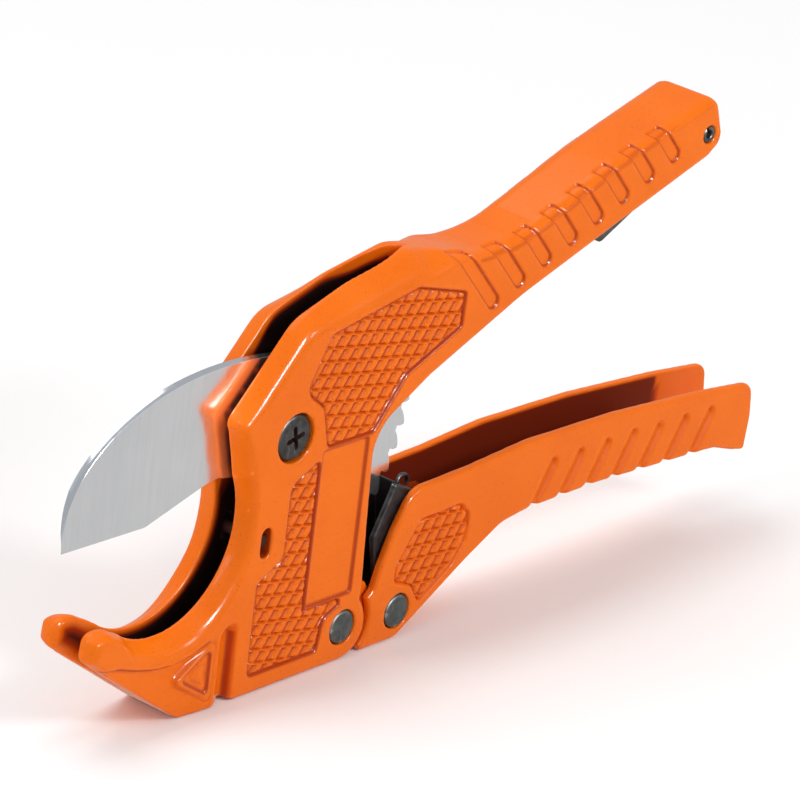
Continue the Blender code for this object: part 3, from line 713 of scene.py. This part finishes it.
def lever_field(grid):
    x, z, y = grid.x, grid.z, grid.y
    edge = signed(lower_outline(), x, z)
    height = HANDLE_HALF - BED_DEPTH * dent(signed(KNURL_LEVER, x, z), 0.5)
    for i in range(GROOVES):
        sag = 0.45 * max(0, i - 3)
        low, high = (82.6 + 9.35 * i, -38.6 - sag), (88.9 + 9.35 * i, -28.0 - sag)
        lean = ((x - low[0]) * (high[1] - low[1]) - (z - low[1]) * (high[0] - low[0])) / math.dist(low, high)
        groove = capsule(x, z, low, high, 2.0)
        depth = np.where(lean < 0.9, ramp(lean, -2.0, 0.9), 1.0 - ramp(lean, 0.9, 2.0))
        height -= 1.1 * depth * dent(groove, 1.2)
        edge = np.maximum(edge, -disc(x, z, (low[0] - 0.4, low[1] + 0.35), 0.9) * 0.5)
    height = height[:, None, :]
    field = common(y - height, edge[:, None, :], 0.85)
    channel = signed([(20.0, -60.0), (33.6, -60.0), (33.6, -54.2), (42.5, -54.2), (63.4, -41.7),
                      (74.0, -35.5), (82.0, -34.4), (110.0, -34.4), (142.4, -35.6), (142.6, -45.0),
                      (170.0, -45.0), (170.0, -10.0), (20.0, -10.0)], x, z)
    field = cut(field, common(y - HANDLE_INNER, channel[:, None, :], 0.4), 0.45)
    root = [(28.0, -55.9), (33.8, -55.9), (33.6, -43.9), (31.5, -41.2), (29.0, -40.9)]
    tongue = signed(tidy(arc(HANDLE_AXIS, 6.6, 100.0, 262.0, 24) + root), x, z)
    inside = signed([(10.0, -60.0), (28.6, -60.0), (28.6, -53.2), (38.0, -53.2), (38.0, -36.0),
                     (10.0, -36.0)], x, z)
    tongue = common(y - 5.4, tongue[:, None, :], 0.5)
    tongue = cut(tongue, common(y - 3.2, inside[:, None, :], 0.2), 0.3)
    flare = signed([(32.2, -55.4), (34.4, -55.4), (34.4, -47.0), (33.8, -44.6), (32.6, -44.6),
                    (32.0, -49.0)], x, z)
    flare = cut(common(y - 6.7, flare[:, None, :], 0.3), common(y - 3.2, inside[:, None, :], 0.2), 0.3)
    field = np.minimum(field, np.minimum(tongue, flare))
    bores = np.minimum(disc(x, z, HANDLE_AXIS, 2.8), disc(x, z, PAWL_AXIS, 4.0))
    return cut(field, bores[:, None, :] + 0.0 * y, 0.35)


def make_lever(mat):
    grid = Grid(14.0, 164.0, -58.0, -17.0, HANDLE_HALF, CAST_STEP)
    points, faces = grid.mesh(lever_field(grid))
    ob = new_object("lower_handle_casting", points, faces, mat)
    x, y, z = spots(ob)
    depth = -signed(lower_outline(), x, z)
    within = (np.abs(y) < HANDLE_INNER + 0.2) * (1.0 - ramp(x, 140.5, 142.5))
    shade(ob, LEVER_SHADOW * ramp(depth, 0.5, 1.1) * within)
    attach(ob, "squeeze_handle", "handle_enamel", "lower_handle")


# ---------- knurled pads ----------

ROW = (3.5, -0.62)
LEAN = (-2.15, -2.65)
SAMPLES_A = [0.0, 0.07, 0.17, 0.30, 0.45, 0.60, 0.75, 0.90]
SAMPLES_B = [0.0, 0.06, 0.14, 0.26, 0.42, 0.60, 0.76, 0.88]


def knurl_height(a, b):
    """Height over a bed's floor: blocks between straight ridges, a along a row and b down from a ridge."""
    fa, fb = a - np.floor(a), b - np.floor(b)
    ridge = 1.0 - ramp(np.minimum(fb, 1.0 - fb), 0.03, 0.14)
    from_pit = np.minimum(fa, 1.0 - fa)
    pit = 1.0 - ramp(from_pit, 0.09, 0.33 - 0.20 * fb)
    pit *= np.where(fa > 0.5, 1.0, 0.85)
    low_bar = (1.0 - ramp(np.abs(fb - 0.86), 0.0, 0.12)) * ramp(fa, 0.05, 0.2) * (1.0 - ramp(fa, 0.5, 0.75))
    block = (0.86 - 0.18 * fb) * (1.0 - pit) * (1.0 - 0.8 * low_bar)
    return 0.95 * np.maximum(0.92 * ridge, block)


def lattice(outline, origin, turn):
    """Steps a and b along the rows and down them, over the outline's box, and their points x and z."""
    c, s = math.cos(math.radians(turn)), math.sin(math.radians(turn))
    u = (ROW[0] * c - ROW[1] * s, ROW[0] * s + ROW[1] * c)
    v = (LEAN[0] * c - LEAN[1] * s, LEAN[0] * s + LEAN[1] * c)
    det = u[0] * v[1] - u[1] * v[0]
    xs, zs = [p[0] for p in outline], [p[1] for p in outline]
    corners = [(px - origin[0], pz - origin[1]) for px in (min(xs), max(xs)) for pz in (min(zs), max(zs))]
    spans = [((px * v[1] - pz * v[0]) / det, (pz * u[0] - px * u[1]) / det) for px, pz in corners]
    a0, a1 = math.floor(min(p[0] for p in spans)) - 1, math.ceil(max(p[0] for p in spans)) + 1
    b0, b1 = math.floor(min(p[1] for p in spans)) - 1, math.ceil(max(p[1] for p in spans)) + 1
    a = np.array([k + f for k in range(a0, a1) for f in SAMPLES_A])
    b = np.array([k + f for k in range(b0, b1) for f in SAMPLES_B])
    a, b = np.meshgrid(a, b, indexing="ij")
    x = origin[0] + a * u[0] + b * v[0]
    z = origin[1] + a * u[1] + b * v[1]
    return a, b, x, z


def knurl_pad(name, outline, face, origin, turn, mat, body, slot):
    """Two closed pads, near and far, that stand on their beds and dip under the floor at the beds' walls."""
    a, b, x, z = lattice(outline, origin, turn)
    depth_in = -signed(outline, x, z)
    rise = np.minimum(knurl_height(a, b), (depth_in - 0.15) * 1.6)
    quad_in = np.maximum.reduce([rise[:-1, :-1], rise[1:, :-1], rise[1:, 1:], rise[:-1, 1:]]) > -0.35
    rise = np.maximum(rise, -0.8)
    floor = face - BED_DEPTH
    for side, sign in (("near", -1.0), ("far", 1.0)):
        bm = bmesh.new()
        top = np.full(x.shape, -1)
        verts = []
        for i, j in np.argwhere(quad_in):
            for k, m in ((i, j), (i + 1, j), (i + 1, j + 1), (i, j + 1)):
                if top[k, m] < 0:
                    top[k, m] = len(verts)
                    verts.append(bm.verts.new((x[k, m], sign * (floor + rise[k, m]), z[k, m])))
            bm.faces.new([verts[top[k, m]] for k, m in ((i, j), (i + 1, j), (i + 1, j + 1), (i, j + 1))])
        made = bmesh.ops.extrude_face_region(bm, geom=list(bm.faces))
        for item in made["geom"]:
            if isinstance(item, bmesh.types.BMVert):
                item.co.y = sign * (floor - 1.2)
        bmesh.ops.recalc_face_normals(bm, faces=bm.faces)
        bm.verts.ensure_lookup_table()
        points = [tuple(vert.co) for vert in bm.verts]
        # Painted shade: the knurl's low points are darkened through the inner attribute.
        low = [0.28 * float(ramp(floor + 0.62 - abs(p[1]), 0.0, 0.5)) for p in points]
        bm.verts.index_update()
        faces = [[vert.index for vert in f.verts] for f in bm.faces]
        bm.free()
        ob = new_object(f"{name}_{side}", points, faces, mat, 55.0)
        shade(ob, low)
        attach(ob, body, slot)


# ---------- blade ----------

TOOTH_ROOT_R = 42.5
BLADE_TIP = (-61.1, -12.8)
EDGE_BEVEL = 0.5
CORNER_BEVEL = 0.08
TIP_GRIND = 1.15
TIP_GRIND_REACH = 13.0


def curve(knots, steps=8):
    """Smooth line through the knots."""
    points = [Vector(p) for p in knots]
    points = [2.0 * points[0] - points[1]] + points + [2.0 * points[-1] - points[-2]]
    line = []
    for p0, p1, p2, p3 in zip(points, points[1:], points[2:], points[3:]):
        for k in range(steps):
            t = k / steps
            bend = 2.0 * p0 - 5.0 * p1 + 4.0 * p2 - p3 + t * (3.0 * (p1 - p2) + p3 - p0)
            p = p1 + 0.5 * t * (p2 - p0 + t * bend)
            line.append(tuple(p))
    return line + [tuple(points[-2])]


def blade_outline():
    spine = curve([BLADE_TIP, (-61.1, -8.6), (-59.8, -3.0), (-56.0, 3.3), (-48.7, 9.4), (-39.0, 13.9),
                   (-28.0, 16.6), (-14.0, 17.4), (2.0, 15.8), (30.0, 10.5)])
    back = arc(BLADE_AXIS, TOOTH_ROOT_R, 8.0, 5.2, 1)
    teeth = []
    for i in range(10):
        tip = 1.6 - 6.9 * i
        for radius, lead in ((43.4, 3.6), (TOOTH_TIP_R - 0.7, 2.4), (TOOTH_TIP_R - 0.2, 1.2),
                             (TOOTH_TIP_R, 0.4), (TOOTH_TIP_R - 0.1, -0.3), (43.6, -0.7), (42.8, -0.6),
                             (TOOTH_ROOT_R, -0.9), (TOOTH_ROOT_R, -2.2)):
            a = math.radians(tip + lead)
            teeth.append((radius * math.cos(a), radius * math.sin(a)))
    belly = [(20.0, -37.2), (17.5, -37.0, 2.0), (11.0, -20.0, 10.0), (-1.0, -13.0, 8.0), (-13.0, -6.8, 20.0),
             (-36.3, -13.6, 5.0), BLADE_TIP]
    return tidy(spine + back + teeth[1:] + rounded(belly, 4.0)[1:])


def make_blade(mat):
    outline = blade_outline()
    edge = [EDGE_BEVEL if BLADE_TIP[0] + 1.0 < x < -14.0 and z < -2.8 + 0.16 * x else CORNER_BEVEL
            for x, z in outline]
    rim = [CORNER_BEVEL] * len(edge)
    inner = [0.8 * d if d > 0.1 else 0.0 for d in edge]
    grind = [0.0] * len(outline)
    for i, p in enumerate(outline):
        if p[1] > BLADE_TIP[1] - 0.01:
            grind[i] = TIP_GRIND * max(0.0, 1.0 - math.dist(p, BLADE_TIP) / TIP_GRIND_REACH)
    rings = []
    for y, inset in ((-1.0, edge), (-0.9, inner), (-0.15, rim), (0.15, rim), (0.9, inner), (1.0, edge)):
        moved = shrunk(outline, [d + (y + 1.0) * g for d, g in zip(inset, grind)])
        rings.append([(x, y, z) for x, z in moved])
    ob = loft("cutting_blade_plate", rings, mat, 22.0)
    hole = turned("blade_bore_tool", BLADE_AXIS, [(4.6, -3.0), (4.6, 3.0)], mat)
    carve(ob, hole)
    x, y, z = spots(ob)
    layer = ob.data.attributes.new("rim", "FLOAT", "POINT")
    layer.data.foreach_set("value", ((np.abs(y) < 0.95) & (np.hypot(x, z) > 10.0)).astype(np.float32))
    attach(ob, "cutting_blade", "blade_steel", "blade")


def carve(ob, tool):
    """Cuts the tool's shape out of the piece and drops the tool."""
    mod = ob.modifiers.new("carve", "BOOLEAN")
    mod.object = tool
    mod.operation = "DIFFERENCE"
    mod.solver = "EXACT"
    evaluated = ob.evaluated_get(bpy.context.evaluated_depsgraph_get())
    mesh = bpy.data.meshes.new_from_object(evaluated)
    ob.modifiers.clear()
    old = ob.data
    ob.data = mesh
    bpy.data.meshes.remove(old)
    bpy.data.objects.remove(tool)
    ob.data.shade_smooth()
    ob.data.set_sharp_from_angle(angle=math.radians(28.0))


# ---------- screw, nut and pins ----------

def make_screw(mat, recess_shade_mat, pin_mat):
    head = [(0.3, -7.72), (2.6, -7.70), (3.9, -7.62), (4.45, -7.5), (4.8, -7.3), (4.97, -7.05), (5.0, -6.8),
            (4.95, -6.6), (3.0, -6.6), (3.0, 7.2), (2.6, 7.6), (0.3, 7.65)]
    screw = turned("pivot_screw_body", BLADE_AXIS, head, mat, 96, 40.0)
    for turn, depth in ((12.0, 1.0), (102.0, 1.25)):
        a = math.radians(turn)
        along, across = Vector((math.cos(a), math.sin(a))), Vector((-math.sin(a), math.cos(a)))
        rings = []
        for y, length, half in ((-9.0, 3.1, 0.62), (-7.7, 2.75, 0.55), (-7.7 + depth, 1.5, 0.34)):
            ring = []
            for s, t in ((-1, -1), (-0.86, -1.0), (0.86, -1.0), (1, -1),
                         (1, 1), (0.86, 1.0), (-0.86, 1.0), (-1, 1)):
                p = along * (s * length) + across * (t * half * (1.0 if abs(s) < 0.9 else 0.55))
                ring.append((p.x, y, p.y))
            rings.append(ring)
        carve(screw, loft("screw_cross_tool", rings, mat))
    screw.data.materials.append(recess_shade_mat)
    # Painted shade: the cross recess's faces take the dark red shade material.
    for face in screw.data.polygons:
        x, y, z = (face.center - PIVOT) / MM
        if math.hypot(x, z) < 3.3 and -7.6 < y < -6.2:
            face.material_index = 1
    attach(screw, "frame", "screw_steel", "blade_pivot_screw")
    nut = []
    for y, grow in ((5.5, 0.0), (5.7, 0.2), (7.5, 0.2), (7.8, -0.25)):
        nut.append([(x, y, z) for x, z in arc(BLADE_AXIS, 4.7 + grow, 0.0, 360.0, 72)[:-1]])
    for y, r in ((7.8, 3.75), (7.45, 3.3), (5.5, 3.3)):
        nut.append([(x, y, z) for x, z in arc(BLADE_AXIS, r, 0.0, 360.0, 72)[:-1]])
    ob = loft("pivot_lock_nut", nut, mat, 35.0, closed=True)
    attach(ob, "frame", "screw_steel", "blade_pivot_nut")
    for name, axis, node, body in (("handle_rivet", HANDLE_AXIS, "handle_pivot_pin", "frame"),
                                   ("pawl_rivet", PAWL_AXIS, "pawl_pin", "squeeze_handle")):
        top = [(0.4, -7.86), (2.7, -7.9), (3.1, -7.88), (3.42, -7.78), (3.62, -7.58), (3.7, -7.3),
               (3.7, -6.1), (2.5, -6.1)]
        profile = top + [(r, -y) for r, y in reversed(top)]
        ob = turned(name, axis, profile, pin_mat, 72, 35.0)
        attach(ob, body, "pin_steel", node)


def roll_pin(mat):
    """Sprung tube with a slit, across the upper handle's end."""
    section = arc(LATCH_AXIS, 1.8, 130.0, 456.0, 48) + arc(LATCH_AXIS, 0.95, 454.0, 132.0, 36)
    rings = [(-7.8, 0.15), (-7.6, 0.0), (7.6, 0.0), (7.8, 0.15)]
    ob = plate("roll_pin_tube", section, rings, mat, 35.0)
    attach(ob, "frame", "screw_steel", "latch_pin")


# ---------- pawl, springs, latch ----------

def pawl_field(grid):
    x, z, y = grid.x, grid.z, grid.y
    side = rounded([(37.4, -20.3, 0.6), (44.4, -23.3, 0.8), (47.0, -43.0, 6.0), (46.2, -49.0)], 8.0)
    side += arc(PAWL_AXIS, 4.2, 5.0, -170.0, 16)
    side += rounded([(35.9, -46.5), (34.8, -41.5, 2.0), (32.6, -32.0, 2.0), (37.4, -20.3)], 8.0)[1:-1]
    room = [(20.0, -60.0), (46.2, -60.0), (46.2, -44.0), (45.2, -42.0), (42.8, -24.4), (36.0, -21.4),
            (20.0, -10.0)]
    mouth = [(20.0, -30.0), (30.0, -10.0), (43.0, -10.0), (42.8, -24.4), (40.0, -34.0)]
    edge = signed(tidy(side), x, z)
    field = common(y - 5.4, edge[:, None, :], 0.5)
    for outline in (room, mouth):
        field = cut(field, common(y - 3.9, signed(outline, x, z)[:, None, :], 0.2), 0.3)
    return cut(field, disc(x, z, PAWL_AXIS, 2.8)[:, None, :] + 0.0 * y, 0.2)


def make_pawl(mat):
    grid = Grid(31.0, 49.0, -55.0, -18.0, 5.4, 0.25)
    points, faces = grid.mesh(pawl_field(grid), tile=6)
    ob = new_object("pawl_bracket", points, faces, mat)
    attach(ob, "pawl", "pawl_black", "ratchet_pawl")


def wire(name, points, radius, mat, sides=12):
    """Round wire through points, as a closed tube."""
    points = [Vector(p) for p in points]
    rings = []
    normal = None
    for i, p in enumerate(points):
        ahead = (points[min(i + 1, len(points) - 1)] - points[max(i - 1, 0)]).normalized()
        if normal is None:
            normal = ahead.orthogonal().normalized()
        normal = (normal - ahead * normal.dot(ahead)).normalized()
        other = ahead.cross(normal)
        ring = []
        for k in range(sides):
            a = 2.0 * math.pi * k / sides
            ring.append(tuple(p + (normal * math.cos(a) + other * math.sin(a)) * radius))
        rings.append(ring)
    return loft(name, rings, mat, 40.0)


def coil(centre, radius, y0, y1, turns, start, steps=32):
    points = []
    total = int(turns * steps)
    for i in range(total + 1):
        a = math.radians(start + 360.0 * i / steps)
        points.append((centre[0] + radius * math.cos(a), y0 + (y1 - y0) * i / total,
                       centre[1] + radius * math.sin(a)))
    return points


def make_springs(black, plated):
    turns = coil(PAWL_AXIS, 3.55, -3.0, 3.0, 5.25, 0.0)
    hook = [(45.7, -2.1, -23.2), (45.75, -2.1, -22.5), (45.4, -2.1, -21.7), (44.9, -2.1, -21.2),
            (44.2, -2.2, -20.9), (43.4, -2.2, -20.8), (42.6, -2.3, -21.1), (42.1, -2.35, -21.8),
            (41.9, -2.4, -22.6), (42.0, -2.6, -25.6), (42.9, -2.8, -34.0), (43.9, -3.0, -44.0)]
    ob = wire("pawl_spring_wire", hook + turns + [(38.6, 3.0, -44.6)], 0.5, black)
    attach(ob, "pawl", "pawl_black", "pawl_spring")
    turns = coil(HANDLE_AXIS, 3.8, -2.2, 2.2, 3.5, 90.0)
    ob = wire("handle_spring_wire", [(14.6, -2.2, -44.8)] + turns + [(28.4, 2.2, -52.4)], 0.55, plated)
    attach(ob, "frame", "zinc_steel", "handle_return_spring")
    turns = coil(BLADE_AXIS, 6.3, 1.85, 2.15, 1.0, 250.0, 48)
    ob = wire("blade_spring_wire", turns + [(-3.9, 2.0, -19.0)], 0.4, plated)
    attach(ob, "frame", "zinc_steel", "blade_return_spring")


def make_latch(mat):
    eye = arc(LATCH_AXIS, 3.3, 30.0, 250.0, 36)
    under = rounded([(129.0, 37.0), (112.4, 27.3, 6.0), (98.6, 20.5, 1.6), (95.9, 26.2)], 6.0)
    over = rounded([(97.3, 26.9), (99.4, 22.6, 0.5), (111.6, 28.7, 6.0), (129.6, 38.9)], 6.0)
    hole = list(reversed(arc(LATCH_AXIS, 2.1, 10.0, 272.0, 36)))
    outline = eye + under[1:] + over[:-1] + [(130.6, 38.65)] + hole
    rings = [(-4.8, 0.12), (-4.65, 0.0), (4.65, 0.0), (4.8, 0.12)]
    ob = plate("latch_strap", outline, rings, mat, 30.0)
    attach(ob, "lock", "screw_steel", "latch")


# ---------- stage ----------

def emitter(name, centre, target, size, power):
    """Rectangular light aimed at the target."""
    data = bpy.data.lights.new(name, "AREA")
    data.shape = "RECTANGLE"
    data.size, data.size_y = size
    data.energy = power
    ob = bpy.data.objects.new(name, data)
    ob.location = centre
    ob.rotation_mode = "QUATERNION"
    ob.rotation_quaternion = (Vector(target) - Vector(centre)).to_track_quat("-Z", "Y")
    bpy.context.scene.collection.objects.link(ob)
    return ob


def make_stage():
    scene = bpy.context.scene
    middle = (CAD_LOW + CAD_HIGH) / 2.0
    mesh = bpy.data.meshes.new("floor")
    bm = bmesh.new()
    bmesh.ops.create_circle(bm, cap_ends=True, segments=96, radius=4.0)
    bm.to_mesh(mesh)
    bm.free()
    look = Looks("floor_paper")
    look.colour(look.ramp(look.noise(3.0, 2.0), [(0.3, 0.90), (0.7, 0.92)]))
    look.set(Roughness=0.95, Specular_IOR_Level=0.0)
    mesh.materials.append(look.mat)
    floor = bpy.data.objects.new("floor", mesh)
    floor.location = (middle.x, middle.y, CAD_LOW.z - 0.0002)
    scene.collection.objects.link(floor)
    floor.visible_glossy = False
    world = bpy.data.worlds.new("studio")
    world.use_nodes = True
    background = world.node_tree.nodes["Background"]
    background.inputs["Color"].default_value = (1.0, 1.0, 1.0, 1.0)
    background.inputs["Strength"].default_value = 0.55
    scene.world = world
    emitter("key_light", middle + Vector((0.40, -0.98, 0.66)), middle, (0.3, 0.3), 6.0)
    emitter("side_light", (-0.95, 0.25, 0.65), middle, (0.3, 0.7), 3.5)
    emitter("top_light", (0.0, 0.75, 1.8), middle, (1.6, 1.2), 14.0)
    streak = emitter("streak_light", middle + Vector((-0.34, -0.9, 0.79)), middle, (0.3, 0.3), 36.0)
    streak.visible_diffuse = False


def make_camera():
    """From the jaw's side and a little above, rolled so that the tool climbs to the right."""
    data = bpy.data.cameras.new("camera")
    data.sensor_width = 36.0
    data.lens = 270.0
    data.clip_start, data.clip_end = 0.05, 50.0
    camera = bpy.data.objects.new("camera", data)
    right = Vector((0.64609, -0.75471, 0.11392))
    up = Vector((0.21741, 0.32505, 0.92038))
    back = Vector((-0.73164, -0.56988, 0.37409))
    turn = Matrix((right, up, back)).transposed().to_4x4()
    camera.matrix_world = Matrix.Translation(Vector((-0.9308, -0.7191, 0.5238))) @ turn
    bpy.context.scene.collection.objects.link(camera)
    bpy.context.scene.camera = camera


def finish_cad_nodes(plated, painted_shade_steel):
    """Small hardware inside the slot keeps its CAD shape: plated washers and bush, and the spring anchor pin
    in dark red painted shade.
    """
    for name, mat in (("screw_lock_washer", plated), ("blade_pivot_bush", plated),
                      ("blade_washer_near", plated), ("blade_washer_far", plated),
                      ("spring_anchor_pin", painted_shade_steel)):
        node = frame["nodes"][name]
        node.data.materials.clear()
        node.data.materials.append(mat)


def build():
    orange = enamel("orange_enamel")
    steel = blade_steel("ground_steel")
    screw = dark_steel("black_screw_steel", (0.045, 0.044, 0.041), (0.085, 0.083, 0.078), 0.42)
    rivet = dark_steel("grey_rivet_steel", (0.07, 0.074, 0.07), (0.115, 0.12, 0.115), 0.5)
    black = dark_steel("black_pawl_finish", (0.014, 0.014, 0.015), (0.034, 0.034, 0.036), 0.36, 0.3)
    # Painted shade: dark red and nearly without specular, for the screw's cross recess and the anchor pin in
    # the spring hole.
    painted_shade_steel = dark_steel("recess_painted_shade", (0.022, 0.009, 0.007), (0.034, 0.013, 0.010), 0.8, 0.0, 0.05)
    make_camera()
    make_stage()
    make_body(orange)
    make_lever(orange)
    lattice = (15.3, 19.6)
    knurl_pad("knurl_upper", KNURL_HIGH, BODY_HALF, lattice, 0.0, orange, "frame", "body_enamel")
    knurl_pad("knurl_cheek", KNURL_LOW, BODY_HALF, lattice, 0.0, orange, "frame", "body_enamel")
    knurl_pad("knurl_lever", KNURL_LEVER, HANDLE_HALF, (46.0, -33.0), 5.0, orange, "squeeze_handle",
              "handle_enamel")
    make_blade(steel)
    make_screw(screw, painted_shade_steel, rivet)
    roll_pin(screw)
    make_pawl(black)
    make_springs(black, screw)
    make_latch(rivet)
    finish_cad_nodes(screw, painted_shade_steel)


build()
bpy.context.scene.view_settings.view_transform = "Standard"
